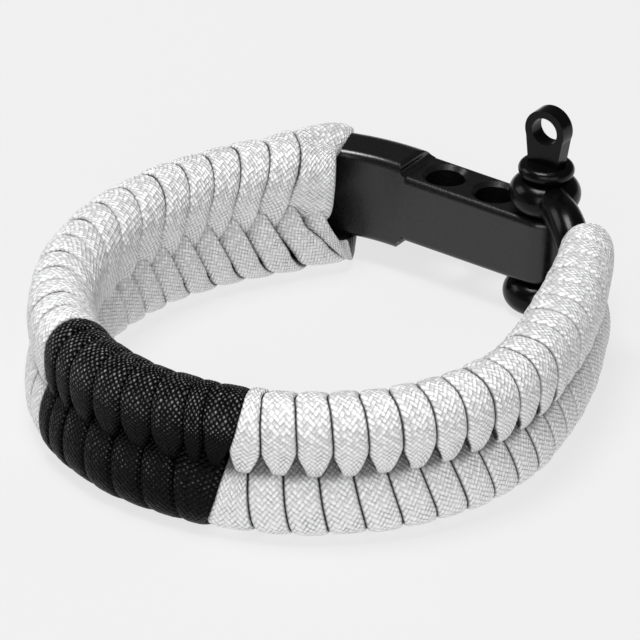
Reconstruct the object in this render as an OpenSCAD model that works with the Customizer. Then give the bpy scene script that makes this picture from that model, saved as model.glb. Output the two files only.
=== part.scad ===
// Fishtail paracord bracelet, closed by an adjuster block and a bow shackle, lying on its edge

/* [Woven band] */
// Length of the band along its middle
band_length = 184; // [170:1:200]
// Height of the band over both lobes
band_height = 20.3; // [19:0.1:22]
// Thickness of the band across a lobe
band_thickness = 9.5; // [8.5:0.1:10.5]
// Thickness of the band at the waist between its lobes
waist_thickness = 6.4; // [5:0.1:7.5]
// Length of the black section
black_length = 31.6; // [20:0.1:50]
// Width of the flattened cord, which is the spacing of the wraps
cord_width = 4.6; // [3.8:0.1:5.4]
// Depth of the groove between two wraps
groove_depth = 1; // [0.4:0.1:1.4]

/* [End wraps] */
// Thickness of the cord wrapped round each end of the band
end_wrap_thickness = 1.9; // [1.5:0.1:2]
// Angle that the wrap on the block's head covers
head_wrap_angle = 10.5; // [8:0.5:12]
// How much lower than the band's edge the wrap at the bow stops, above and below
end_wrap_drop = 0.4; // [0.2:0.1:1]
// Free space between a wrap and the metal in it
wrap_clearance = 0.3; // [0.2:0.05:0.4]
// Free space between two pieces of the band
seam = 0.15; // [0.1:0.05:0.2]

/* [Adjuster block] */
// Height of the block's bar
bar_height = 10; // [8:0.1:10.4]
// Thickness of the block
bar_thickness = 8.4; // [7.6:0.1:9.4]
// Radius of the bar's long edges
bar_edge = 1; // [0.6:0.1:1.5]
// Number of holes in the bar
hole_count = 3; // [2:1:4]
// Distance between the holes
hole_pitch = 8; // [7:0.1:9]
// Diameter of each hole
hole_diameter = 5.4; // [5.2:0.05:5.8]
// Depth of the countersink at each rim
countersink = 0.6; // [0.3:0.1:0.8]
// Distance from the last hole to the block's head
head_from_hole = 5.7; // [5:0.1:7]
// Height of the block's head
head_height = 13.2; // [12:0.1:14]
// Radius to which the head is bent, at its middle
head_bend_radius = 27.8; // [24:0.1:34]
// Angle through which the head is bent
head_bend_angle = 29; // [26:0.5:30]
// Radius of the head's outer long edges
head_outer_edge = 3.4; // [2:0.1:3.8]
// Radius of the head's inner long edges
head_inner_edge = 1.2; // [0.8:0.1:1.6]

/* [Shackle] */
// Diameter of the bow's wire
wire_diameter = 5; // [4.4:0.1:5.4]
// Straight length of the bow between the pin's axis and the crown
bow_straight = 6.3; // [5.5:0.1:8]
// Radius of each ear
ear_radius = 5; // [4.4:0.1:5.6]
// Free space between an ear and the bar
ear_play = 0.15; // [0.1:0.05:0.3]
// Diameter of the pin's shank
pin_diameter = 5; // [4.4:0.1:5.1]
// Free space round the shank in the ears
pin_play = 0.05; // [0.03:0.01:0.08]
// Radius of the pin's collar
collar_radius = 3.9; // [3.4:0.1:4.6]
// Thickness of the pin's collar
collar_thickness = 2; // [1.4:0.1:2.6]
// Diameter of the hole in the pin's eye
eye_hole_diameter = 4; // [3:0.1:4.2]
// Width of the metal round that hole
eye_wall = 1.1; // [0.8:0.1:1.6]
// Thickness of the eye
eye_thickness = 2.4; // [1.8:0.1:3]
// Width of the eye's neck where it leaves the collar
eye_neck = 4.4; // [3.4:0.1:5]
// Height of the neck between the collar and the eye's hole
eye_rise = 6.1; // [5:0.1:7]

/* [Hidden] */
$fn = 48;

// Columns of a frame on the band's middle line: distance along it, place in plan, heading in degrees
S = 0;
X = 1;
Y = 2;
HEADING = 3;

// The band's bends from the block round to the shackle, seen from above
// share of the length, turn to the left in degrees
SHARE = 0;
TURN = 1;
BENDS = [
    [16, 0],
    [26, 33],
    [29, 39],
    [25, 51],
    [32, 53],
    [27, 46],
    [29, 13]
];
bends_total = total(BENDS, SHARE, len(BENDS));

// Share of the band's length that lies before the black section, and the wrap spacing of each
// section as a share of the cord's width
black_start_share = 0.41;
left_spacing = 1.04;
black_spacing = 0.86;
right_spacing = 0.93;
// The first white wrap after the black section is narrow: its share of a whole wrap
narrow_wrap = 0.65;

// How far a groove is moved along the band, as a share of the cord's width: the way round the
// section goes from the outer waist over the top to the inner waist and back under the bottom
LEAN = [
    [0, 0],
    [0.04, 0.13],
    [0.12, 0.1],
    [0.25, 0],
    [0.32, 0.1],
    [0.38, 0.59],
    [0.46, 0.57],
    [0.54, 0.99],
    [0.63, 0.5],
    [0.75, 0.41],
    [0.88, -0.05],
    [0.96, -0.15],
    [1, 0]
];

// Heights of the section's points, as shares of half the band's height
RISE = [0, 0.2, 0.42, 0.66, 0.86, 0.97];

// Places across one wrap, as shares of it, and how deep the groove is there, as a share of its depth
ACROSS = 0;
DEEP = 1;
WRAP = [
    [0, 1],
    [0.16, 0.32],
    [0.5, 0],
    [0.84, 0.32]
];

// Lengths over which the lean of the wraps starts and stops at the band's ends
lean_in = 10;
lean_out = 12;
// The band's thickness at the shackle as a share of its full one, and the length of that taper
end_slim = 0.84;
slim_length = 16;
// At the block's head the wraps fan out round the outside of the bend: how far the outer face
// swells there, the angle of the fan, and the length over which both fade
swell = 3.2;
fan_angle = 27;
fan_length = 12;

// The middle height of everything, so that the lowest piece rests on the ground
crown_radius = bar_height / 2 + ear_play + wire_diameter / 2;
bow_half_height = crown_radius + wire_diameter / 2;
mid_z = max(band_height / 2, bow_half_height);
bow_reach = bow_straight + bow_half_height;

// The pin's axis is the plan's zero, and the bar runs from it along -X to the bent head
last_hole_x = -(hole_count - 1) * hole_pitch;
head_x = last_hole_x - head_from_hole;
head_axis = [head_x, -head_bend_radius];
shoulder = (head_height - bar_height) / 4;

// The band's middle line starts inside the head's bend, turned further in than the head
band_start_angle = 17;
band_start_inset = 3.1;
band_start_heading = 240;
band_start_radius = head_bend_radius - band_start_inset;
band_start = [
    0,
    head_axis.x - band_start_radius * sin(band_start_angle),
    head_axis.y + band_start_radius * cos(band_start_angle),
    band_start_heading
];

// The woven solids keep clear of the wrap on the head and of the bow's crown
head_wrap_from = 21.5;
head_wrap_to = head_wrap_from + head_wrap_angle;
head_wrap_lean = 0.9;
weave_from = 7.5;
first_groove = 8.5;
weave_stop = 1.5;
weave_to = band_length - weave_stop;
black_from = black_start_share * band_length;
black_to = black_from + black_length;

function total(rows, column, n) = n == 0 ? 0 : rows[n - 1][column] + total(rows, column, n - 1);

// The frame after a bend of this length and turn
function after(at, run, turn) =
    let (h = at[HEADING], r = run / max(abs(turn), 0.001) * 180 / PI * sign(turn))
    turn == 0
        ? [at[S] + run, at[X] + run * cos(h), at[Y] + run * sin(h), h]
        : [at[S] + run,
           at[X] + r * (sin(h + turn) - sin(h)),
           at[Y] + r * (cos(h) - cos(h + turn)),
           h + turn];

function bend_length(i) = band_length * BENDS[i][SHARE] / bends_total;

// The frame at the start of each bend, with every turn multiplied by one factor
function knots(factor, at = band_start, i = 0) =
    i == len(BENDS)
        ? [at]
        : concat([at], knots(factor, after(at, bend_length(i), factor * BENDS[i][TURN]), i + 1));

function plan(at) = [at[X], at[Y]];

// The factor on the turns at which the band's end just reaches the bow's crown
function closing(low = 0.7, high = 1.06, tries = 24) =
    let (factor = (low + high) / 2, end = knots(factor)[len(BENDS)])
    tries == 0
        ? factor
        : norm(plan(end)) > bow_reach
            ? closing(factor, high, tries - 1)
            : closing(low, factor, tries - 1);

turn_factor = closing();
KNOTS = knots(turn_factor);
band_end = KNOTS[len(BENDS)];
bow_angle = atan2(band_end[Y], band_end[X]);

function bend_at(s, i = 0) = i == len(BENDS) - 1 || s < KNOTS[i + 1][S] ? i : bend_at(s, i + 1);

// The frame on the middle line at this distance
function middle(s) =
    let (i = bend_at(s), run = s - KNOTS[i][S])
    after(KNOTS[i], run, turn_factor * BENDS[i][TURN] * run / bend_length(i));

// A point beside and above a frame: inward is to the left, towards the wearer's wrist
function beside(at, inward, up) =
    [at[X] - inward * sin(at[HEADING]), at[Y] + inward * cos(at[HEADING]), mid_z + up];

// The plan's bounds are those of the band's outer face and the ears
OUTER = [for (i = [0:120]) beside(middle(band_length * i / 120), -band_thickness / 2, 0)];
low_x = min([for (p = OUTER) p.x]);
high_x = max([for (p = OUTER) p.x]);
low_y = min([for (p = OUTER) p.y]);
centre = [(low_x + high_x) / 2, (low_y + ear_radius) / 2];

// Puts a piece on the ground with the middle of the whole bracelet's box over the origin
module set_down() {
    translate([-centre.x, -centre.y, 0])
        children();
}

// The section's points in order from the outer waist over the top, as [thickness side, rise]
rises = len(RISE);
SECTION = concat(
    [for (i = [0:rises - 1]) [-1, RISE[i]]],
    [[0, 1]],
    [for (i = [rises - 1:-1:1]) [1, RISE[i]]],
    [[1, 0]],
    [for (i = [1:rises - 1]) [1, -RISE[i]]],
    [[0, -1]],
    [for (i = [rises - 1:-1:1]) [-1, -RISE[i]]]
);
ring = len(SECTION);

// Half the band's thickness at a rise: a round lobe, drawn in to the waist
function half_thickness(rise) =
    let (r = abs(rise))
    r > 0.5
        ? band_thickness / 2 * sqrt(1 - pow((r - 0.5) / 0.5, 2))
        : waist_thickness / 2 + (band_thickness - waist_thickness) / 4 * (1 - cos(360 * r));

function limit(value) = max(0, min(1, value));
function smooth(value) = let (v = limit(value)) v * v * (3 - 2 * v);

// How much of the wraps' lean is there at this distance, and how slim the band is
function lean_share(s) = min(smooth((s - weave_from) / lean_in), smooth((weave_to - s) / lean_out));
function slim(s) = 1 - (1 - end_slim) * smooth((s - weave_to + slim_length) / slim_length);
function fan_share(s) = 1 - smooth((s - weave_from) / fan_length);

// One point of the woven surface: grooves go in towards the middle of their lobe
function woven_point(s, i, deep) =
    let (
        side = SECTION[i][0],
        rise = SECTION[i][1],
        groove = deep * groove_depth * smooth((abs(rise) - 0.1) / 0.4),
        keep = 1 - groove / (band_height / 4),
        lobe = sign(rise) * band_height / 4,
        up = lobe + (rise * band_height / 2 - lobe) * keep,
        wide = half_thickness(rise) * (slim(s) + max(0, -side) * swell * fan_share(s) * 2 / band_thickness),
        lean = lookup(i / ring, LEAN) * cord_width * lean_share(s),
        fan = min(0, side) * wide * tan(fan_angle) * fan_share(s)
    )
    beside(middle(s + lean + fan), side * wide * keep, up);

// The distances at which a stretch of wraps has its rings, each with its groove's depth; the first
// wrap may be a share of a whole one
function wrap_rings(from, to, spacing, first = 1) =
    let (
        wraps = max(2, round((to - from) / (spacing * cord_width) + 1 - first)),
        step = (to - from) / (wraps - 1 + first)
    )
    concat(
        [for (row = WRAP) [from + step * first * row[ACROSS], row[DEEP]]],
        [for (n = [1:wraps - 1], row = WRAP) [from + step * (n - 1 + first + row[ACROSS]), row[DEEP]]],
        [[to, 1]]
    );

// A closed solid through rings of points, closed at each end by a fan round its middle
module woven_solid(rings) {
    last = len(rings) - 1;
    points = concat(
        [for (r = rings, i = [0:ring - 1]) woven_point(r[0], i, r[1])],
        [beside(middle(rings[0][0]), 0, 0), beside(middle(rings[last][0]), 0, 0)]
    );
    start_middle = (last + 1) * ring;
    sides = [
        for (r = [0:last - 1], i = [0:ring - 1])
            let (a = r * ring + i, b = r * ring + (i + 1) % ring)
            each [[a, b, b + ring], [a, b + ring, a + ring]]
    ];
    start_cap = [for (i = [0:ring - 1]) [start_middle, (i + 1) % ring, i]];
    end_cap = [for (i = [0:ring - 1]) [start_middle + 1, last * ring + i, last * ring + (i + 1) % ring]];
    polyhedron(points, concat(sides, start_cap, end_cap), convexity = 8);
}

// The outline of a bar: a rectangle across X and Y with its own edge radii on each side
module bar_outline(height, inner_edge, outer_edge) {
    half = bar_thickness / 2;
    translate([inner_edge - half, -height / 2])
        square([bar_thickness - inner_edge - outer_edge, height]);
    translate([-half, inner_edge - height / 2])
        square([bar_thickness, height - inner_edge - outer_edge]);
    translate([-half, inner_edge - height / 2])
        square([inner_edge, height - 2 * inner_edge]);
    translate([half - outer_edge, outer_edge - height / 2])
        square([outer_edge, height - 2 * outer_edge]);
    for (side = [-1, 1]) {
        translate([inner_edge - half, side * (height / 2 - inner_edge)])
            circle(inner_edge);
        translate([half - outer_edge, side * (height / 2 - outer_edge)])
            circle(outer_edge);
    }
}

// A straight length of bar from x to the right, with its outline standing across it
module straight_bar(x, run, height, inner_edge, outer_edge) {
    translate([x, 0, mid_z])
        rotate([90, 0, 90])
            linear_extrude(run)
                bar_outline(height, inner_edge, outer_edge);
}

// The bar's round end about the pin's axis
module bar_end() {
    translate([0, 0, mid_z])
        rotate([0, 0, -90])
            rotate_extrude(angle = 180)
                intersection() {
                    bar_outline(bar_height, bar_edge, bar_edge);
                    translate([0, -bar_height / 2])
                        square([bar_thickness, bar_height]);
                }
}

// The curved step from the head's height down to the bar's, above and below
module head_shoulder() {
    intersection() {
        straight_bar(head_x, 2 * shoulder, head_height, head_inner_edge, head_outer_edge);
        translate([head_x, bar_thickness, mid_z])
            rotate([90, 0, 0])
                linear_extrude(2 * bar_thickness)
                    shoulder_outline();
    }
}

module shoulder_outline() {
    step_z = bar_height / 2;
    difference() {
        union() {
            translate([0, -step_z - shoulder])
                square([2 * shoulder, 2 * (step_z + shoulder)]);
            for (side = [-1, 1])
                translate([0, side * (step_z + shoulder)])
                    circle(shoulder);
        }
        for (side = [-1, 1])
            translate([2 * shoulder, side * (step_z + shoulder)])
                circle(shoulder);
    }
}

module bent_head() {
    translate([head_axis.x, head_axis.y, mid_z])
        rotate([0, 0, 90])
            rotate_extrude(angle = head_bend_angle)
                translate([head_bend_radius, 0])
                    bar_outline(head_height, head_inner_edge, head_outer_edge);
}

// A hole and its countersinks, which the cutter carries on past the bar's faces
module bar_hole(x) {
    flare = 2 * countersink;
    translate([x, 0, mid_z]) {
        cylinder(d = hole_diameter, h = bar_height + 2 * flare, center = true);
        for (side = [0, 180])
            rotate([side, 0, 0])
                translate([0, 0, bar_height / 2 - countersink])
                    cylinder(r1 = hole_diameter / 2, r2 = hole_diameter / 2 + flare, h = flare);
    }
}

module adjuster_block() {
    color([0.09, 0.09, 0.1])
        set_down()
            difference() {
                union() {
                    straight_bar(head_x, -head_x, bar_height, bar_edge, bar_edge);
                    bar_end();
                    head_shoulder();
                    bent_head();
                }
                for (i = [0:hole_count - 1])
                    bar_hole(-i * hole_pitch);
            }
}

module ear() {
    rotate_extrude() {
        translate([0, -wire_diameter / 2])
            square([ear_radius - wire_diameter / 2, wire_diameter]);
        intersection() {
            translate([ear_radius - wire_diameter / 2, 0])
                circle(wire_diameter / 2);
            translate([0, -wire_diameter / 2])
                square([ear_radius, wire_diameter]);
        }
    }
}

module shackle_bow() {
    color([0.06, 0.06, 0.07])
        set_down()
            translate([0, 0, mid_z])
                rotate([0, 0, bow_angle])
                    difference() {
                        union() {
                            for (side = [-1, 1])
                                translate([0, 0, side * crown_radius]) {
                                    ear();
                                    rotate([0, 90, 0])
                                        cylinder(d = wire_diameter, h = bow_straight);
                                }
                            translate([bow_straight, 0, 0])
                                rotate([0, 0, -90])
                                    rotate([0, -90, 0])
                                        rotate_extrude(angle = 180)
                                            translate([crown_radius, 0])
                                                circle(d = wire_diameter);
                        }
                        cylinder(r = pin_diameter / 2 + pin_play, h = 4 * bow_half_height, center = true);
                    }
}

// The pin's eye: a flat tab that widens from its neck to the ring round its hole
module eye_outline(low) {
    ring_radius = eye_hole_diameter / 2 + eye_wall;
    polygon([
        [-eye_neck / 2, low],
        [eye_neck / 2, low],
        [ring_radius * 0.98, low + eye_rise],
        [-ring_radius * 0.98, low + eye_rise]
    ]);
    translate([0, low + eye_rise])
        circle(ring_radius);
}

module shackle_pin() {
    ear_top = mid_z + bow_half_height;
    tip = mid_z - bow_half_height + 0.3;
    collar_low = ear_top + ear_play;
    collar_top = collar_low + collar_thickness;
    color([0.06, 0.06, 0.07])
        set_down()
            difference() {
                union() {
                    translate([0, 0, tip])
                        cylinder(d = pin_diameter, h = collar_low + collar_thickness / 2 - tip);
                    translate([0, 0, collar_low + collar_thickness / 2])
                        rotate_extrude() {
                            translate([0, -collar_thickness / 2])
                                square([collar_radius - collar_thickness / 2, collar_thickness]);
                            translate([collar_radius - collar_thickness / 2, 0])
                                circle(d = collar_thickness);
                        }
                    translate([0, eye_thickness / 2, 0])
                        rotate([90, 0, 0])
                            linear_extrude(eye_thickness)
                                eye_outline(collar_top - collar_thickness / 2);
                }
                translate([0, 0, collar_top - collar_thickness / 2 + eye_rise])
                    rotate([90, 0, 0])
                        cylinder(d = eye_hole_diameter, h = 4 * eye_thickness, center = true);
            }
}

module white_weave_left() {
    color([0.88, 0.88, 0.88])
        set_down()
            woven_solid(concat([[weave_from, 1]],
                               wrap_rings(first_groove, black_from - seam / 2, left_spacing)));
}

module black_weave() {
    color([0.08, 0.08, 0.08])
        set_down()
            woven_solid(wrap_rings(black_from + seam / 2, black_to - seam / 2, black_spacing));
}

module white_weave_right() {
    color([0.88, 0.88, 0.88])
        set_down()
            woven_solid(wrap_rings(black_to + seam / 2, weave_to, right_spacing, narrow_wrap));
}

// Points round a rounded rectangle, each pushed out by a distance
corner_steps = 5;
function round_outline(half_w, half_h, corner, out) = [
    for (quarter = [0:3], step = [0:corner_steps])
        let (
            a = 90 * quarter + 90 * step / corner_steps,
            side_w = quarter == 0 || quarter == 3 ? 1 : -1,
            side_h = quarter < 2 ? 1 : -1
        )
        [side_w * (half_w - corner) + (corner + out) * cos(a),
         side_h * (half_h - corner) + (corner + out) * sin(a)]
];

// Across the flattened cord of an end wrap: share of its width, share of its thickness
WRAP_CORD = [[0, 0.25], [0, 0.75], [0.14, 1], [0.86, 1], [1, 0.75], [1, 0.25], [0.86, 0], [0.14, 0]];

// Between two frames, or a little before the first
function blend_frames(a, b, share) = a + (b - a) * share;

// A closed band of cord between two frames; its underside starts earlier by a share of its width
module cord_ring(from, to, half_w, half_h, corner, lean_low) {
    count = 4 * (corner_steps + 1);
    sides = len(WRAP_CORD);
    rings = [for (row = WRAP_CORD) round_outline(half_w, half_h, corner, row[1] * end_wrap_thickness)];
    points = [
        for (i = [0:count - 1], j = [0:sides - 1])
            let (
                p = rings[j][i],
                low = limit(-p.y / half_h),
                share = WRAP_CORD[j][0] - lean_low * low * low
            )
            beside(blend_frames(from, to, share), -p.x, p.y)
    ];
    faces = [
        for (i = [0:count - 1], j = [0:sides - 1])
            let (a = i * sides, b = (i + 1) % count * sides, k = (j + 1) % sides)
            each [[a + j, a + k, b + k], [a + j, b + k, b + j]]
    ];
    polyhedron(points, faces, convexity = 8);
}

// A frame on the head's middle line at this angle of its bend
function head_frame(angle) = [
    0,
    head_axis.x - head_bend_radius * sin(angle),
    head_axis.y + head_bend_radius * cos(angle),
    180 + angle
];

module end_wrap_block() {
    color([0.88, 0.88, 0.88])
        set_down()
            cord_ring(head_frame(head_wrap_from), head_frame(head_wrap_to),
                      bar_thickness / 2 + wrap_clearance, head_height / 2 + wrap_clearance,
                      head_inner_edge + wrap_clearance, head_wrap_lean);
}

// The wrap at the bow starts where the crown is low enough to fit in it and ends at the weave
module end_wrap_bow() {
    half_h = band_height / 2 - end_wrap_drop - end_wrap_thickness;
    crown_fit = min(half_h - wrap_clearance / 2, bow_half_height * 0.9);
    near = bow_straight + sqrt(pow(bow_half_height, 2) - pow(crown_fit, 2));
    start = middle(weave_to + seam);
    turns = round((start[HEADING] - bow_angle - 180) / 360);
    finish = [0, near * cos(bow_angle), near * sin(bow_angle), bow_angle + 180 + 360 * turns];
    color([0.88, 0.88, 0.88])
        set_down()
            cord_ring(start, finish, wire_diameter / 2 + wrap_clearance, half_h,
                      wire_diameter / 2, 0);
}

adjuster_block();
shackle_bow();
shackle_pin();
white_weave_left();
black_weave();
white_weave_right();
end_wrap_block();
end_wrap_bow();
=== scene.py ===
# A fishtail paracord bracelet lying on its edge: braided cord wraps, adjuster bar and bow shackle
import math

import bpy
import numpy as np
from mathutils import Matrix, Vector


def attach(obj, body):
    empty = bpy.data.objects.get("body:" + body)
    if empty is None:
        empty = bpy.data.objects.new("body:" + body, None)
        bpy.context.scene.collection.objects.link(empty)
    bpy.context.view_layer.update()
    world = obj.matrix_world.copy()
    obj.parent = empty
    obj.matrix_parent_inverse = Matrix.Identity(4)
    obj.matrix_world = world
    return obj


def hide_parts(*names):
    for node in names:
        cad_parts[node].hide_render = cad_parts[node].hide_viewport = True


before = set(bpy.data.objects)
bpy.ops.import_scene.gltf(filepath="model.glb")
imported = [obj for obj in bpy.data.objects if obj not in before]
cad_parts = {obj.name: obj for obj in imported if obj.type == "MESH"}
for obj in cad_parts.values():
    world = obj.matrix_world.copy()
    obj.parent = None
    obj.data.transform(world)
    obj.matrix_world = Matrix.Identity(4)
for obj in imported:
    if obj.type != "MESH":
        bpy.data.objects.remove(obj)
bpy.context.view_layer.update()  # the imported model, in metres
bpy.ops.object.select_all(action="DESELECT")
print("frame loaded:", len(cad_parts), "nodes")
mm = 0.001

# The band's middle line in plan, from the bar's head round to the shackle's bow, in millimetres
band = {
    "start": (-18.879, 34.942),
    "heading": 240.0,
    "bends": [(16, 0), (26, 33), (29, 39), (25, 51), (32, 53), (27, 46), (29, 13), (5, 22)],
    "middleHeight": 10.15,
    "slimmer": (166.0, 21.0),  # from here, and over this length, the band grows thinner
    "slimShare": 0.17,
    "headUntil": 8.0,  # stretches that start before this lie round the bar's head
}

# The wraps: stretches of the band with whole wraps, and the piece that each stretch belongs to
upperStretches = [
    (2.1, 8.5, 1, "left"),
    (8.5, 60.0, 11, "left"),
    (60.0, 76.7, 4, "left"),
    (76.7, 83.0, 2, "black"),
    (83.0, 100.28, 4, "black"),
    (100.28, 102.7, 1, "black"),
    (102.7, 107.2, 1, "black"),
    (107.2, 109.7, 1, "right"),
    (109.7, 182.5, 17, "right"),
    (182.5, 187.2, 1, "end"),
]
lowerStretches = [
    (-4.5, -0.9, 1, "left"),
    (-0.9, 3.8, 1, "left"),
    (3.8, 8.5, 1, "left"),
    (8.5, 60.0, 11, "left"),
    (60.0, 76.7, 4, "left"),
    (76.7, 83.0, 2, "black"),
    (83.0, 104.6, 5, "black"),
    (104.6, 109.7, 1, "right"),
    (109.7, 182.5, 17, "right"),
    (182.5, 187.2, 1, "end"),
]

# One wrap from its outer end to its inner end, as columns: towards the wrist, up from the band's
# middle, moved along the band, share of the wrap's width, half thickness, tilt of its edges
upperWrap = [
    (-0.4, 0.9, 0.6, 0.30, 0.8, 0),
    (-1.5, 0.3, 0.6, 0.36, 1.0, 0),
    (-2.5, 0.75, 0.6, 0.46, 1.25, 0),
    (-2.95, 1.9, 0.6, 0.72, 1.35, 0),
    (-3.1, 3.3, 0.5, 0.98, 1.4, 0),
    (-3.2, 4.8, 0.45, 1.0, 1.45, 0),
    (-2.95, 6.8, 0.25, 1.0, 1.45, 0),
    (-1.8, 8.25, 0.1, 1.0, 1.45, 0),
    (0.0, 8.72, 0.0, 1.0, 1.45, 0),
    (1.8, 8.2, 0.7, 1.0, 1.45, 0.05),
    (2.95, 6.7, 1.6, 1.0, 1.45, 0.12),
    (3.2, 4.6, 2.5, 1.0, 1.45, 0.25),
    (3.0, 2.4, 3.1, 1.0, 1.25, 0.6),
    (2.6, 0.6, 3.9, 1.0, 1.1, 0.85),
    (1.9, -0.9, 4.7, 1.0, 0.95, 0.9),
    (0.9, -2.0, 5.4, 1.0, 0.8, 0.6),
]
lowerWrap = [
    (-0.3, 3.0, -1.5, 0.35, 0.8, 0),
    (-1.1, 2.3, -1.4, 0.66, 1.0, 0),
    (-1.6, 1.0, -1.25, 0.9, 1.15, 0),
    (-2.35, -0.9, -1.0, 0.98, 1.3, 0),
    (-2.95, -2.8, -0.85, 1.0, 1.4, 0),
    (-3.2, -4.8, -0.6, 1.0, 1.45, 0),
    (-2.95, -6.8, -0.2, 1.0, 1.45, 0),
    (-1.8, -8.2, 0.4, 1.0, 1.45, 0),
    (0.0, -8.72, 1.6, 1.0, 1.45, 0),
    (1.8, -8.2, 3.8, 1.0, 1.45, 0.1),
    (2.95, -6.8, 6.0, 1.0, 1.4, 0.2),
    (3.2, -4.8, 7.5, 1.0, 1.35, 0.35),
    (3.05, -2.6, 8.9, 1.0, 1.25, 0.6),
    (2.7, -0.6, 10.2, 1.0, 1.1, 0.85),
    (2.1, 1.0, 11.3, 1.0, 0.95, 0.9),
    (1.1, 2.4, 12.3, 1.0, 0.8, 0.6),
]
# The same over the bar's head, where the outer side runs straight down behind it
upperOverHead = [
    (-3.0, -1.2, 0.45, 0.9, 1.1, 0),
    (-3.05, 0.8, 0.45, 1.0, 1.15, 0),
    (-3.0, 3.4, 0.45, 1.0, 1.15, -0.25),
    (-2.5, 6.1, 0.25, 1.0, 0.85, -0.7),
    (-1.65, 7.35, 0.1, 1.0, 0.75, -1.05),
    (0.0, 7.85, 0.0, 1.0, 0.75, -1.2),
    (1.75, 7.55, 0.7, 1.0, 1.0, -0.95),
    (2.9, 6.5, 1.6, 1.0, 1.3, -0.4),
] + upperWrap[11:]
lowerOverHead = [
    (-3.0, 1.2, -0.35, 0.9, 1.1, 0),
    (-3.05, -0.8, -0.35, 1.0, 1.15, 0),
    (-3.0, -3.4, -0.35, 1.0, 1.15, 0),
    (-2.4, -6.4, 0.4, 1.0, 1.15, 0),
    (-1.4, -7.75, 1.2, 1.0, 1.3, 0),
    (0.0, -8.4, 1.6, 1.0, 1.5, 0),
    (1.8, -8.15, 3.8, 1.0, 1.45, 0.1),
    (2.95, -6.9, 6.0, 1.0, 1.35, 0.2),
    (3.2, -4.8, 7.5, 1.0, 1.3, 0.35),
    (3.05, -2.6, 8.9, 1.0, 1.25, 0.6),
] + lowerWrap[13:]

# Edges with a slope of their own, which replaces the third column: those of the first wraps round the
# bar's head, and the two where the black cord meets the white one on the right. The first number is
# the edge's place along the band.
seam = {
    "head": (2.1, (-0.8, -0.8, -1.8, -2.5, -1.6, -0.1, 1.0, 1.9, 2.4, 2.5, 2.5, 2.5, 2.6)),
    "underHead": (-4.5, (5.4, 4.8, 3.8, 3.2, 2.8, 3.1, 4.6, 6.4, 7.9, 9.3, 10.6)),
    "secondUnderHead": (-0.9, (2.7, 2.3, 1.7, 0.9, 0.3, 0.3, 1.9, 4.2, 6.6, 9.0)),
    "thirdUnderHead": (3.8, (1.0, 0.8, 0.6, 0.6, 0.8, 1.6, 3.6, 5.8, 7.5)),
    "upper": (107.2, (-1.4, -1.4, -1.3, -1.1, -0.8, -0.4, 0.0, 0.25, 0.3)),
    "lower": (104.6, (1.6, 1.5, 1.4, 1.1, 0.7, 0.3, -0.3, -0.8, 0.6)),
}

# How the wraps are meshed: rings along a wrap, points over its visible side and under it
weaveMesh = {
    "rings": 108,
    "over": 38,
    "under": 8,
    "samples": 400,  # points of the smooth route that the rings are picked from
    "squareness": 4.0,  # of the flattened cord's section
    "aspect": 1.5,  # its width to its height, for spacing its points
    "overFrom": -28.0,  # degrees below the side where the visible part starts
    "overlap": 1.03,  # neighbours just touch
    "plumpBy": 0.04,  # wraps differ a little in thickness
    "plumpStep": 2.3,
    "stitchRelief": 0.08,
    "ringsToStitch": 2.6,
    "pointsToStitch": 3.0,
    "stitchShift": 0.618,  # each wrap's braid starts elsewhere
    "usualWidth": 4.6,
    "leastStitches": 0.7,  # of the usual count, on the narrowest wrap
    "sameEdge": 0.01,  # edges closer than this are one
}


def smoothStep(x):
    x = np.clip(x, 0.0, 1.0)
    return x * x * (3 - 2 * x)


def rise(x, start, over):  # 0 up to start, and 1 from start + over
    return smoothStep((x - start) / over)


def fall(x, end, over):  # 1 up to end - over, and 0 from end
    return smoothStep((end - x) / over)


def runAlong(x, y):  # the length of a line up to each of its points
    return np.concatenate([[0], np.cumsum(np.hypot(np.diff(x), np.diff(y)))])


def bandKnots():
    knots = [(0.0, *band["start"], math.radians(band["heading"]))]
    for run, turn in band["bends"]:
        s, x, y, heading = knots[-1]
        rate = math.radians(turn) / run
        turned = heading + rate * run
        if turn:
            x += (math.sin(turned) - math.sin(heading)) / rate
            y += (math.cos(heading) - math.cos(turned)) / rate
        else:
            x += run * math.cos(heading)
            y += run * math.sin(heading)
        knots.append((s + run, x, y, turned))
    return np.array(knots)


knots = bandKnots()
bendRates = np.array([math.radians(turn) / run for run, turn in band["bends"]])
bendRates[bendRates == 0] = 1e-7  # a straight run is a very wide bend


# s along the band's line, then towards the wrist and up from the line, all in millimetres
def bandPoint(s, inward, up):
    i = np.clip(np.searchsorted(knots[:, 0], s, side="right") - 1, 0, len(bendRates) - 1)
    rate = bendRates[i]
    before = knots[i, 3]
    heading = before + rate * (s - knots[i, 0])
    x = knots[i, 1] + (np.sin(heading) - np.sin(before)) / rate
    y = knots[i, 2] + (np.cos(before) - np.cos(heading)) / rate
    x = x - inward * np.sin(heading)
    y = y + inward * np.cos(heading)
    return np.stack([x, y, band["middleHeight"] + up], -1) * mm


# Round the bar's head the outer side of the wraps fans out to enclose the metal
headFan = {
    "from": 1.45,
    "over": 11.5,
    "swell": 5.85,  # outwards
    "shift": 4.25,  # along the band, towards the bar
    "turnsAt": -2.8,  # past this place it closes in again behind the metal
    "narrows": 0.8,
    "halfBand": 3.2,  # the outer face's distance from the middle line
    "farthest": 1.5,  # nothing moves more than this many times the outer face's share
}


def fanRoundHead(s, inward):
    outer = np.clip(-inward / headFan["halfBand"], 0, headFan["farthest"])
    near = smoothStep(1 - (s - headFan["from"]) / headFan["over"])
    moved = s - outer * headFan["shift"] * near
    narrowed = np.maximum(0, headFan["turnsAt"] - moved) * headFan["narrows"] * outer
    swell = headFan["swell"] * near - narrowed
    return moved, inward - outer * np.maximum(swell, 0)


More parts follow.
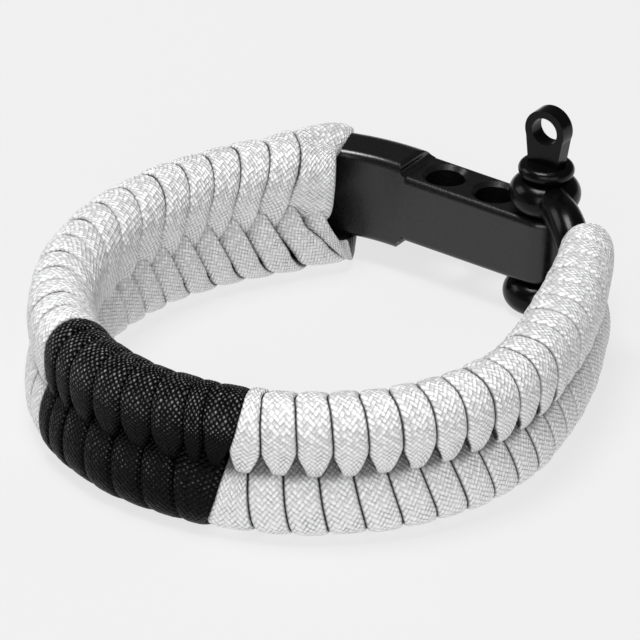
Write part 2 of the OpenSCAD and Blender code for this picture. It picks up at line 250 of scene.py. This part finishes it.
def curveThrough(rows, count):
    rows = np.array(rows, float)
    ends = np.vstack([2 * rows[0] - rows[1], rows, 2 * rows[-1] - rows[-2]])
    t = np.linspace(0, len(rows) - 1, count)
    i = np.minimum(t.astype(int), len(rows) - 2)
    f = (t - i)[:, None]
    a, b, c, d = ends[i], ends[i + 1], ends[i + 2], ends[i + 3]
    square = 2 * a - 5 * b + 4 * c - d
    cube = 3 * b - a - 3 * c + d
    return 0.5 * (2 * b + (c - a) * f + square * f ** 2 + cube * f ** 3)


# The flattened cord's section, from -1 to 1 both ways: the visible points first, then those below
def cordOutline():
    m = weaveMesh
    turn = np.linspace(0, 2 * math.pi, 721)
    x = np.sign(np.cos(turn)) * np.abs(np.cos(turn)) ** (2 / m["squareness"])
    y = np.sign(np.sin(turn)) * np.abs(np.sin(turn)) ** (2 / m["squareness"])
    run = runAlong(x * m["aspect"], y)
    top = np.interp(math.pi / 2, turn, run)
    bottom = np.interp(1.5 * math.pi, turn, run)
    quarter = np.linspace(-math.pi / 2, 0, 181)
    low = np.interp(math.radians(m["overFrom"]), quarter, np.linspace(bottom - run[-1], 0, 181))
    over = np.linspace(low, 2 * top - low, m["over"], endpoint=False)
    under = np.linspace(2 * top - low, run[-1] + low, m["under"], endpoint=False)
    at = np.concatenate([over, under]) % run[-1]
    return np.stack([np.interp(at, run, x), np.interp(at, run, y)], -1)


# A yarn's float over two others: it sinks at its ends and has a slight crease where it bends
yarnFloat = {"sinks": 0.8, "crease": 0.6, "creaseWidth": 0.2, "flatness": 0.6}


def stitchHeight(u, v):
    look = yarnFloat
    a, b = u + v, u - v
    d = np.mod(np.floor(a) - np.floor(b), 4)
    fa, fb = a - np.floor(a), b - np.floor(b)
    side = np.where(d < 2, fb, fa) - 0.5
    length = np.where(d < 2, fa + d, fb + 3 - d) / 2 - 0.5
    crease = 1 - look["crease"] * np.clip(1 - np.abs(length) / look["creaseWidth"], 0, 1)
    back = np.cos(math.pi * side) ** look["flatness"]
    return back * np.cos(look["sinks"] * math.pi * length) * crease


def shiftOf(index):
    return 4 * (index * weaveMesh["stitchShift"] % 1)


def stitchesOver(gapFrom, gapTo):  # a wider wrap shows more stitches, not wider ones
    return max(weaveMesh["leastStitches"], (gapTo - gapFrom) / weaveMesh["usualWidth"])


# How the gaps between wraps lean. A pair is where the change starts, and over what length.
gapLean = {
    "fades": (160.0, 27.0),  # towards the shackle
    "bendGrows": (28.0, 22.0),  # round the left bend the upper wraps lean more
    "bendEnds": (54.0, 22.5),
    "bendBy": 4.6,
    "bendRows": (4, 7),  # from the outer shoulder to the inner one
    "lowerGrows": (110.0, 26.0),  # and the lower wraps round the right side
    "lowerBy": 2.0,
    "lowerDown": (0.9, 7.3),  # below the middle, on the outer face
}


def isLower(table):
    return table is lowerWrap or table is lowerOverHead


def gapLines(table, fine, gapFrom, gapTo):
    look = gapLean
    edges = (gapFrom, gapTo)
    fade = 1 - rise(np.array(edges), *look["fades"])
    gaps = [gap + fine[:, 2] * np.where(fine[:, 2] > 0, kept, 1.0) for gap, kept in zip(edges, fade)]
    if isLower(table):
        first, reach = look["lowerDown"]
        down = np.where(fine[:, 0] < 0, np.clip((-fine[:, 1] - first) / reach, 0, 1), 1.0)
        for side, gap in enumerate(edges):
            more = rise(gap, *look["lowerGrows"]) * look["lowerBy"] * fade[side]
            gaps[side] = gaps[side] + more * down
    else:
        crossed = rise(np.linspace(0, len(table) - 1, len(fine)), *look["bendRows"])
        for side, gap in enumerate(edges):
            grown = rise(gap, *look["bendGrows"])
            kept = 1 - rise(gap, *look["bendEnds"])
            gaps[side] = gaps[side] + look["bendBy"] * grown * kept * crossed
    for place, leans in seam.values():
        own = [(*row[:2], lean) for row, lean in zip(table, leans)]
        slanted = own + [row[:3] for row in table[len(leans):]]
        for side, gap in enumerate(edges):
            if abs(gap - place) < weaveMesh["sameEdge"]:
                gaps[side] = gap + curveThrough(slanted, len(fine))[:, 2]
    return gaps


# The painted shade beside and under the wraps, and the painted light on their upper backs. A pair is
# a place and the length that the change takes, in millimetres, or in half widths where it runs across
# a wrap.
wrapShade = {
    "side": (0.84, 0.13),  # across a wrap, into the gap
    "innerFace": (1.6, 0.5),  # towards the wrist
    "innerEnd": (2.0, 2.4),  # up from the middle, where a wrap dives under its neighbours
    "innerEndAcross": (0.15, 0.8),
    "innerEndLeast": 0.06,
    "innerTip": (0.1, 0.9),
    "upperOuterEnd": (2.5, 0.9),  # along the wrap
    "lowerOuterEnd": (1.6, 1.5),
    "lowerOuterShare": 0.8,
    "underBand": (1.9, -7.0),  # within this of the middle and below this the free edges shade too
    "softer": (148.0, 26.0),  # the painted shade in the gaps fades towards the shackle
    "softerBy": 0.65,
    "litUpper": (2.5, 4.5),
    "litLower": (-6.0, 4.0),
    "litLowerShare": 0.6,
}
bandEnds = (2.1, -4.5, 187.2)  # edges without a neighbour, so without its shade
outline = cordOutline()
around = len(outline)
# painted shade: 1 deep in the gap beside a wrap, 0 on its back
gapShade = np.where(outline[:, 1] < 0, 1.0, rise(np.abs(outline[:, 0]), *wrapShade["side"]))


# painted shade at a wrap's ends: on the inner face where it dives under its neighbours, on the
# curled-under tip of an upper wrap, and on a lower wrap's top under those tips
def shadeAlong(table, fine, section):
    look = wrapShade
    inner = rise(fine[:, 0], *look["innerFace"])
    ahead = -fine[:, 1] if isLower(table) else fine[:, 1]
    innerEnd = inner * fall(ahead, *look["innerEnd"])
    innerTip = inner * fall(ahead, *look["innerTip"])
    if table is upperWrap:
        outerEnd = fall(section, *look["upperOuterEnd"])
    elif table is lowerWrap:
        outerEnd = (1 - inner) * fall(ahead, *look["lowerOuterEnd"]) * look["lowerOuterShare"]
    else:
        outerEnd = 0 * section  # round the bar's head the outer ends aren't tucked in
    return innerEnd, innerTip, outerEnd


def wrapMesh(table, gapFrom, gapTo, index):
    m = weaveMesh
    look = wrapShade
    sign = -1.0 if isLower(table) else 1.0
    fine = curveThrough(table, m["samples"])
    section = runAlong(fine[:, 0], fine[:, 1])
    gaps = gapLines(table, fine, gapFrom, gapTo)
    centre = (gaps[0] + gaps[1]) / 2
    half = (gaps[1] - gaps[0]) / 2 * fine[:, 3]
    travel = runAlong(centre, section)
    rings = np.interp(np.linspace(0, travel[-1], m["rings"]), travel, section)

    def atRings(column):
        return np.interp(rings, section, column)[:, None]

    # the rings stand square to a leaning wrap, and straight on the one that folds over the bar's head
    lean = 0.0 if table is upperOverHead else np.arctan(atRings(np.gradient(centre, section)))
    a, b = outline[None, :, 0], outline[None, :, 1]
    across = a * atRings(half) * np.cos(lean) * m["overlap"]
    s = atRings(centre) + across * np.cos(lean)
    along = np.clip(atRings(section) - across * np.sin(lean), 0, section[-1])
    inward = np.interp(along, section, fine[:, 0])
    up = np.interp(along, section, fine[:, 1])
    goesIn, goesUp = np.gradient(fine[:, 0], section), np.gradient(fine[:, 1], section)
    norm = np.hypot(goesIn, goesUp)

    u = np.arange(m["rings"])[:, None] / m["ringsToStitch"]
    v = np.arange(around)[None, :] / m["pointsToStitch"] * stitchesOver(gapFrom, gapTo)
    seen = np.where(np.arange(around)[None, :] < m["over"], 1.0, 0.0)
    relief = (stitchHeight(u + shiftOf(index), v) - 0.5) * m["stitchRelief"] * seen
    plump = 1 - m["plumpBy"] * math.sin(m["plumpStep"] * index)
    height = b * atRings(fine[:, 4]) * plump + relief - a * atRings(fine[:, 5])
    inward = inward + np.interp(along, section, -goesUp / norm) * sign * height
    up = up + np.interp(along, section, goesIn / norm) * sign * height
    inward = inward * (1 - band["slimShare"] * rise(s, *band["slimmer"]))
    s, inward = fanRoundHead(s, inward)
    points = bandPoint(s, inward, up)
    caps = points[[0, -1]].mean(axis=1)

    # painted shade: the ends run into the shade under their neighbours, most on the side that is
    # tucked under
    innerEnd, innerTip, outerEnd = (atRings(column) for column in shadeAlong(table, fine, section))
    least = look["innerEndLeast"]
    tucked = innerEnd * (least + (1 - least) * rise(a, *look["innerEndAcross"]))
    shade = np.maximum(np.clip(tucked + outerEnd, 0, 1), innerTip)
    free = ((gapFrom in bandEnds) & (outline[:, 0] < 0)) | ((gapTo in bandEnds) & (outline[:, 0] > 0))
    near, below = look["underBand"]
    underneath = (np.abs(atRings(fine[:, 0])) < near) & (atRings(fine[:, 1]) < below)
    sides = gapShade[None, :] * (1 - look["softerBy"] * rise(s, *look["softer"]))
    shade = np.where(free[None, :] & ~underneath, 0.0, np.maximum(shade, sides))
    # painted light: the upper wraps are lighter on their tops, the lower wraps get at most 0.6 of
    # that and none towards the bottom
    if isLower(table):
        lit = look["litLowerShare"] * rise(up, *look["litLower"])
    else:
        lit = rise(up, *look["litUpper"])
    return points.reshape(-1, 3), caps, shade.ravel(), lit.ravel()


def wrapFaces(count, flip):
    n = weaveMesh["rings"]
    i, j = np.meshgrid(np.arange(n - 1), np.arange(around), indexing="ij")
    k = (j + 1) % around
    near, far = i * around, (i + 1) * around
    quads = np.stack([near + j, near + k, far + k, far + j], -1).reshape(-1, 4)
    j = np.arange(around)
    k = (j + 1) % around
    start = np.stack([np.full(around, n * around), k, j], -1)
    last = (n - 1) * around
    end = np.stack([np.full(around, n * around + 1), last + j, last + k], -1)
    if flip:
        quads, start, end = quads[:, ::-1], start[:, ::-1], end[:, ::-1]
    offset = count * (n * around + 2)
    return quads + offset, np.vstack([start, end]) + offset


# The braid's own layer. Its third number is the whole way round a wrap: the last column of quads
# joins the last point to the first, and its pattern carries on by that much.
def layBraid(mesh, braid):
    loops = np.zeros(len(mesh.loops), int)
    mesh.loops.foreach_get("vertex_index", loops)
    values = braid[loops]
    sizes = np.zeros(len(mesh.polygons), int)
    mesh.polygons.foreach_get("loop_total", sizes)
    owner = np.repeat(np.arange(len(sizes)), sizes)
    highest = np.zeros(len(sizes))
    np.maximum.at(highest, owner, values[:, 1])
    wrapRound = (highest[owner] - values[:, 1] > values[:, 2] / 2) & (sizes[owner] == 4)
    values[wrapRound, 1] += values[wrapRound, 2]
    layer = mesh.uv_layers.new(name="braid")
    layer.data.foreach_set("uv", values[:, :2].astype(np.float32).ravel())


def makeWraps(name, jobs, material, replaced):
    m = weaveMesh
    allPoints, allFaces, allBraid, allGap, allLit = [], [], [], [], []
    for count, (table, gapFrom, gapTo, index) in enumerate(jobs):
        points, caps, shade, lit = wrapMesh(table, gapFrom, gapTo, index)
        allPoints += [points, caps]
        quads, triangles = wrapFaces(count, isLower(table))
        allFaces += quads.tolist() + triangles.tolist()
        stitch = stitchesOver(gapFrom, gapTo) / m["pointsToStitch"]
        u = np.repeat(np.arange(m["rings"]) / m["ringsToStitch"], around) + shiftOf(index)
        v = np.tile(np.arange(around) * stitch, m["rings"])
        braid = np.stack([u, v, np.full(len(u), around * stitch)], -1)
        allBraid += [braid, np.zeros((2, 3))]
        allGap += [shade, [1, 1]]
        allLit += [lit, [0, 0]]
    mesh = bpy.data.meshes.new(name)
    mesh.from_pydata(np.vstack(allPoints).tolist(), [], allFaces)
    layBraid(mesh, np.vstack(allBraid))
    mesh.polygons.foreach_set("use_smooth", np.ones(len(mesh.polygons), bool))
    for layerName, values in (("gap", allGap), ("lit", allLit)):
        attribute = mesh.attributes.new(layerName, "FLOAT", "POINT")
        attribute.data.foreach_set("value", np.concatenate(values).astype(np.float32))
    mesh.validate()
    mesh.materials.append(material)
    piece = bpy.data.objects.new(name, mesh)
    bpy.context.scene.collection.objects.link(piece)
    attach(piece, "bracelet")
    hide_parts(*replaced)
    print(name, "made of", len(jobs), "wraps,", len(mesh.polygons), "faces")


def wrapJobs(stretches, wrap, overHead, part):
    jobs = []
    index = 0
    for start, end, count, owner in stretches:
        table = overHead if start < band["headUntil"] else wrap
        step = (end - start) / count
        for n in range(count):
            if owner == part:
                jobs.append((table, start + n * step, start + (n + 1) * step, index))
            index += 1
    return jobs


def upperJobs(part):
    return wrapJobs(upperStretches, upperWrap, upperOverHead, part)


def lowerJobs(part):
    return wrapJobs(lowerStretches, lowerWrap, lowerOverHead, part)


# A material's nodes, with the calls that the cords and the coatings share
class Nodes:
    def __init__(self, name):
        self.material = bpy.data.materials.new(name)
        self.material.use_nodes = True
        self.tree = self.material.node_tree
        self.shader = self.tree.nodes["Principled BSDF"]

    def add(self, kind, **settings):
        node = self.tree.nodes.new(kind)
        for key, value in settings.items():
            setattr(node, key, value)
        return node

    def link(self, a, b):
        self.tree.links.new(a, b)

    def math(self, operation, a, b=None):
        node = self.add("ShaderNodeMath", operation=operation)
        for i, value in enumerate((a, b)):
            if value is None:
                continue
            if isinstance(value, (int, float)):
                node.inputs[i].default_value = value
            else:
                self.link(value, node.inputs[i])
        return node.outputs[0]

    def ramp(self, value, stops):
        node = self.add("ShaderNodeValToRGB")
        elements = node.color_ramp.elements
        for i in (0, -1):
            position, color = stops[i]
            elements[i].position = position
            elements[i].color = (*color, 1)
        for position, color in stops[1:-1]:
            elements.new(position).color = (*color, 1)
        self.link(value, node.inputs[0])
        return node.outputs[0]

    def noise(self, scale, detail):
        node = self.add("ShaderNodeTexNoise")
        node.inputs["Scale"].default_value = scale
        node.inputs["Detail"].default_value = detail
        place = self.add("ShaderNodeTexCoord")
        self.link(place.outputs["Object"], node.inputs["Vector"])
        return node.outputs[0]

    def chance(self, x, y):  # a number of its own for each pair of whole numbers
        pair = self.add("ShaderNodeCombineXYZ")
        self.link(x, pair.inputs[0])
        self.link(y, pair.inputs[1])
        node = self.add("ShaderNodeTexWhiteNoise", noise_dimensions="2D")
        self.link(pair.outputs[0], node.inputs["Vector"])
        return node.outputs[0]

    def bump(self, height, strength, depth):  # depth in millimetres
        node = self.add("ShaderNodeBump")
        node.inputs["Strength"].default_value = strength
        node.inputs["Distance"].default_value = depth * mm
        self.link(height, node.inputs["Height"])
        self.link(node.outputs[0], self.shader.inputs["Normal"])


# What both colours of cord have in common
cordFibre = {
    "scale": 2600.0,  # of the fine fibres, per metre
    "detail": 3.0,
    "share": 0.22,  # of a yarn's tone that comes from its fibres
    "fuzz": 0.25,  # of its bump
    "roughness": 0.2,  # how far the roughness varies
    "patchScale": 320.0,
    "patchDetail": 2.0,
    "dullEdge": 6.0,  # how sharply dull and bright stitches part
    "dullUnlit": 0.3,  # share of the dulling that stays away from the bright backs
}


def cordMaterial(name, look):
    n = Nodes(name)
    uv = n.add("ShaderNodeUVMap", uv_map="braid")
    split = n.add("ShaderNodeSeparateXYZ")
    n.link(uv.outputs[0], split.inputs[0])
    a = n.math("ADD", split.outputs[0], split.outputs[1])
    b = n.math("SUBTRACT", split.outputs[0], split.outputs[1])
    fa, fb = n.math("FRACT", a), n.math("FRACT", b)
    cellA, cellB = n.math("FLOOR", a), n.math("FLOOR", b)
    # the braid repeats every four cells, and 800 more of them keep the count above zero
    d = n.math("MODULO", n.math("ADD", n.math("SUBTRACT", cellA, cellB), 800.0), 4.0)

    def yarn(side, length):  # a yarn's round back, which sinks at both ends of its float
        back = n.math("COSINE", n.math("MULTIPLY", n.math("SUBTRACT", side, 0.5), math.pi))
        back = n.math("POWER", n.math("MAXIMUM", back, 0.0), yarnFloat["flatness"])
        along = n.math("SUBTRACT", length, 0.5)
        dip = n.math("COSINE", n.math("MULTIPLY", along, math.pi * yarnFloat["sinks"]))
        crease = n.math("DIVIDE", n.math("ABSOLUTE", along), yarnFloat["creaseWidth"])
        crease = n.math("MAXIMUM", n.math("SUBTRACT", 1.0, crease), 0.0)
        crease = n.math("MULTIPLY", crease, yarnFloat["crease"])
        dip = n.math("MULTIPLY", dip, n.math("SUBTRACT", 1.0, crease))
        return n.math("MULTIPLY", back, dip)

    one = yarn(fb, n.math("MULTIPLY", n.math("ADD", fa, d), 0.5))
    two = yarn(fa, n.math("MULTIPLY", n.math("SUBTRACT", n.math("ADD", fb, 3.0), d), 0.5))
    leansBack = n.math("GREATER_THAN", d, 1.5)
    mixed = n.add("ShaderNodeMix")
    n.link(leansBack, mixed.inputs["Factor"])
    n.link(one, mixed.inputs["A"])
    n.link(two, mixed.inputs["B"])
    height = mixed.outputs["Result"]

    # a number for each float, the same in both of its cells, and one for each cell
    floatA = n.math("MULTIPLY", n.math("SUBTRACT", 1.0, leansBack), d)
    floatA = n.math("SUBTRACT", cellA, floatA)
    floatB = n.math("MULTIPLY", leansBack, n.math("SUBTRACT", d, 3.0))
    floatB = n.math("ADD", cellB, floatB)
    own = n.chance(floatA, floatB)
    cell = n.chance(cellA, cellB)
    spread = n.math("MULTIPLY", n.math("ADD", own, cell), 0.5)
    spread = n.math("SUBTRACT", spread, 0.5)

    fibres = n.noise(cordFibre["scale"], cordFibre["detail"])
    patch = n.noise(cordFibre["patchScale"], cordFibre["patchDetail"])
    # the gap attribute carries the painted shade: 1 in the gaps and under the neighbours, 0 on the
    # backs
    gap = n.add("ShaderNodeAttribute", attribute_name="gap").outputs["Fac"]
    lit = n.add("ShaderNodeAttribute", attribute_name="lit").outputs["Fac"]  # 1 on an upper back, where light is painted on

    tone = n.math("MULTIPLY", height, 1 - cordFibre["share"])
    tone = n.math("ADD", tone, n.math("MULTIPLY", fibres, cordFibre["share"]))
    patches = n.math("MULTIPLY", n.math("SUBTRACT", patch, 0.5), look["patchiness"])
    tone = n.math("ADD", tone, patches)
    tone = n.math("ADD", tone, n.math("MULTIPLY", spread, look["yarnSpread"]))
    # painted light: the upper backs, marked by lit, are made lighter
    paintedBackLight = n.math("MULTIPLY", n.math("SUBTRACT", lit, 0.5), look["paintedBackLight"])
    tone = n.math("ADD", tone, paintedBackLight)

    # random cells are darker, a tone of their own, most of all on the upper backs, where this breaks
    # the painted light into dots
    dull = n.math("SUBTRACT", cell, look["brightCells"])
    dull = n.math("MULTIPLY", dull, cordFibre["dullEdge"])
    dull = n.math("MINIMUM", n.math("MAXIMUM", dull, 0.0), 1.0)
    where = n.math("MULTIPLY", lit, 1 - cordFibre["dullUnlit"])
    dull = n.math("MULTIPLY", dull, n.math("ADD", where, cordFibre["dullUnlit"]))
    bright = n.math("SUBTRACT", 1.0, n.math("MULTIPLY", dull, look["dullness"]))
    scaled = n.add("ShaderNodeVectorMath", operation="SCALE")
    n.link(n.ramp(tone, look["colors"]), scaled.inputs[0])
    n.link(bright, scaled.inputs["Scale"])

    # painted shade: the gap attribute darkens the colour towards near-black in the gaps and under the
    # neighbours
    shaded = n.add("ShaderNodeMix", data_type="RGBA", blend_type="MULTIPLY")
    n.link(gap, shaded.inputs[0])
    n.link(scaled.outputs[0], shaded.inputs[6])
    shaded.inputs[7].default_value = (*look["gapShadeColor"], 1)
    n.link(shaded.outputs[2], n.shader.inputs["Base Color"])

    rough = n.math("MULTIPLY", fibres, cordFibre["roughness"])
    rough = n.math("ADD", rough, look["roughness"] - cordFibre["roughness"] / 2)
    n.link(rough, n.shader.inputs["Roughness"])
    relief = n.math("ADD", height, n.math("MULTIPLY", fibres, cordFibre["fuzz"]))
    n.bump(relief, 1.0, look["bumpDepth"])
    n.shader.inputs["Specular IOR Level"].default_value = look["specular"]
    print(name, "mixed")
    return n.material


whiteCord = cordMaterial("whiteCord", {
    "colors": [
        (0.02, (0.24, 0.24, 0.245)),  # painted shade between the yarns
        (0.18, (0.58, 0.58, 0.585)),
        (0.36, (0.84, 0.84, 0.845)),
        (0.6, (0.95, 0.95, 0.95)),
        (0.8, (1.0, 1.0, 1.0)),  # on their backs
    ],
    "patchiness": 0.2,
    "yarnSpread": 0.35,
    # painted light on the upper backs
    "paintedBackLight": 0.06,
    "brightCells": 0.5,
    "dullness": 0.33,
    # the painted shade colour in the gaps
    "gapShadeColor": (0.02, 0.02, 0.02),
    "roughness": 0.36,
    "bumpDepth": 0.18,
    "specular": 0.5,
})
blackCord = cordMaterial("blackCord", {
    "colors": [
        (0.1, (0.0006, 0.0006, 0.0006)),
        (0.55, (0.002, 0.002, 0.002)),
        (0.74, (0.014, 0.014, 0.014)),
        # painted glints on the yarns' backs
        (1.0, (0.30, 0.30, 0.30)),
    ],
    "patchiness": 0.15,
    "yarnSpread": 0.25,
    # painted highlights on the upper backs, which lift them into the bright end of the colours
    "paintedBackLight": 0.34,
    "brightCells": 0.55,
    "dullness": 0.7,
    # the painted shade colour in the gaps
    "gapShadeColor": (0.1, 0.1, 0.1),
    "roughness": 0.34,
    "bumpDepth": 0.28,
    "specular": 0.08,
})

# What both metal coatings have in common
coating = {
    "grainDetail": 4.0,
    "broadScale": 140.0,
    "broadDetail": 2.0,
    "broadShare": 0.4,
    "roughSpread": 0.12,
    "bumpDepth": 0.05,
}


def metalMaterial(name, look):
    n = Nodes(name)
    grain = n.noise(look["grain"], coating["grainDetail"])
    broad = n.noise(coating["broadScale"], coating["broadDetail"])
    both = n.math("MULTIPLY", grain, 1 - coating["broadShare"])
    both = n.math("ADD", both, n.math("MULTIPLY", broad, coating["broadShare"]))
    n.link(n.ramp(both, look["colors"]), n.shader.inputs["Base Color"])
    rough = n.math("MULTIPLY", both, coating["roughSpread"])
    rough = n.math("ADD", rough, look["roughness"] - coating["roughSpread"] / 2)
    n.link(rough, n.shader.inputs["Roughness"])
    n.bump(grain, look["bump"], coating["bumpDepth"])
    n.shader.inputs["Specular IOR Level"].default_value = look["specular"]
    print(name, "mixed")
    return n.material


blackBar = metalMaterial("blackBar", {
    "colors": [(0.3, (0.0015, 0.0015, 0.0016)), (0.7, (0.004, 0.004, 0.0042))],
    "grain": 1500.0,
    "roughness": 0.27,
    "bump": 0.25,
    "specular": 0.62,
})
blackSteel = metalMaterial("blackSteel", {
    "colors": [(0.3, (0.0012, 0.0012, 0.0013)), (0.7, (0.003, 0.003, 0.0032))],
    "grain": 900.0,
    "roughness": 0.22,
    "bump": 0.15,
    "specular": 0.17,
})

makeWraps("white_wraps_left_upper", upperJobs("left"), whiteCord,
          ["white_weave_left", "end_wrap_block"])
makeWraps("white_wraps_left_lower", lowerJobs("left"), whiteCord,
          ["white_weave_left"])
makeWraps("black_wraps", upperJobs("black") + lowerJobs("black"), blackCord,
          ["black_weave"])
makeWraps("white_wraps_right_upper", upperJobs("right"), whiteCord,
          ["white_weave_right"])
makeWraps("white_wraps_right_lower", lowerJobs("right"), whiteCord,
          ["white_weave_right"])
makeWraps("white_wraps_bow", upperJobs("end") + lowerJobs("end"), whiteCord,
          ["end_wrap_bow"])

coatings = {"adjuster_block": blackBar, "shackle_bow": blackSteel, "shackle_pin": blackSteel}
for node, material in coatings.items():
    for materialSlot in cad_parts[node].material_slots:
        materialSlot.material = material
print("bar, bow and pin coated")

# The floor glows a little, so that it stays pale without strong light on the cord
floorLook = {"size": 6.0, "grey": 0.12, "glow": 0.73, "roughness": 0.9}
floorMaterial = Nodes("paleFloor")
floorInputs = floorMaterial.shader.inputs
floorInputs["Base Color"].default_value = (floorLook["grey"], floorLook["grey"], floorLook["grey"], 1)
floorInputs["Roughness"].default_value = floorLook["roughness"]
floorInputs["Specular IOR Level"].default_value = 0.0
floorInputs["Emission Color"].default_value = (1, 1, 1, 1)
floorInputs["Emission Strength"].default_value = floorLook["glow"]
bpy.ops.mesh.primitive_plane_add(size=floorLook["size"], location=(0, 0, 0))
floor = bpy.context.object
floor.name = "floor"
floor.data.materials.append(floorMaterial.material)

worldGlow = 0.08
world = bpy.data.worlds.new("studio")
bpy.context.scene.world = world
world.use_nodes = True
background = world.node_tree.nodes["Background"]
background.inputs[0].default_value = (1, 1, 1, 1)
background.inputs[1].default_value = worldGlow

# Square soft lights: name, place, what each points at, size in metres, watts
lights = [
    ("overhead", (-0.10, -0.10, 0.85), (0, 0, 0), 0.35, 7.1),
    ("frontFill", (0.45, -1.0, 0.5), (0, 0, 0.01), 0.7, 4.4),
    ("leftFill", (-0.9, -0.3, 0.5), (0, 0, 0.01), 0.5, 2.2),
    ("rightFill", (0.95, -0.45, 0.35), (0, 0, 0.01), 0.6, 2.4),
]
for name, place, target, size, power in lights:
    data = bpy.data.lights.new(name, "AREA")
    data.size = size
    data.energy = power
    light = bpy.data.objects.new(name, data)
    light.location = place
    light.rotation_euler = (Vector(target) - Vector(place)).to_track_quat("-Z", "Y").to_euler()
    bpy.context.scene.collection.objects.link(light)
print("floor and", len(lights), "lights placed")

# The photograph's view: turned round the object, looking down on it and slightly rolled
view = {
    "azimuth": 32.0,
    "elevation": 28.5,
    "roll": 3.0,
    "distance": 1.4,
    "target": (-0.001679, 0.001542, 0.010),
    "lens": 582.75,
    "sensor": 36.0,
}
azimuth, elevation, roll = (math.radians(view[angle]) for angle in ("azimuth", "elevation", "roll"))
level = math.cos(elevation)
forward = Vector((-math.sin(azimuth) * level, math.cos(azimuth) * level, -math.sin(elevation)))
right = Vector((math.cos(azimuth), math.sin(azimuth), 0))
upward = right.cross(forward)
rolledRight = right * math.cos(roll) + upward * math.sin(roll)
rolledUp = upward * math.cos(roll) - right * math.sin(roll)
cameraData = bpy.data.cameras.new("camera")
cameraData.lens = view["lens"]
cameraData.sensor_width = view["sensor"]
camera = bpy.data.objects.new("camera", cameraData)
turned = Matrix((rolledRight, rolledUp, -forward)).transposed().to_4x4()
stand = Vector(view["target"]) - forward * view["distance"]
camera.matrix_world = Matrix.Translation(stand) @ turned
bpy.context.scene.collection.objects.link(camera)
bpy.context.scene.camera = camera
bpy.context.scene.view_settings.view_transform = "Standard"
print("camera placed")
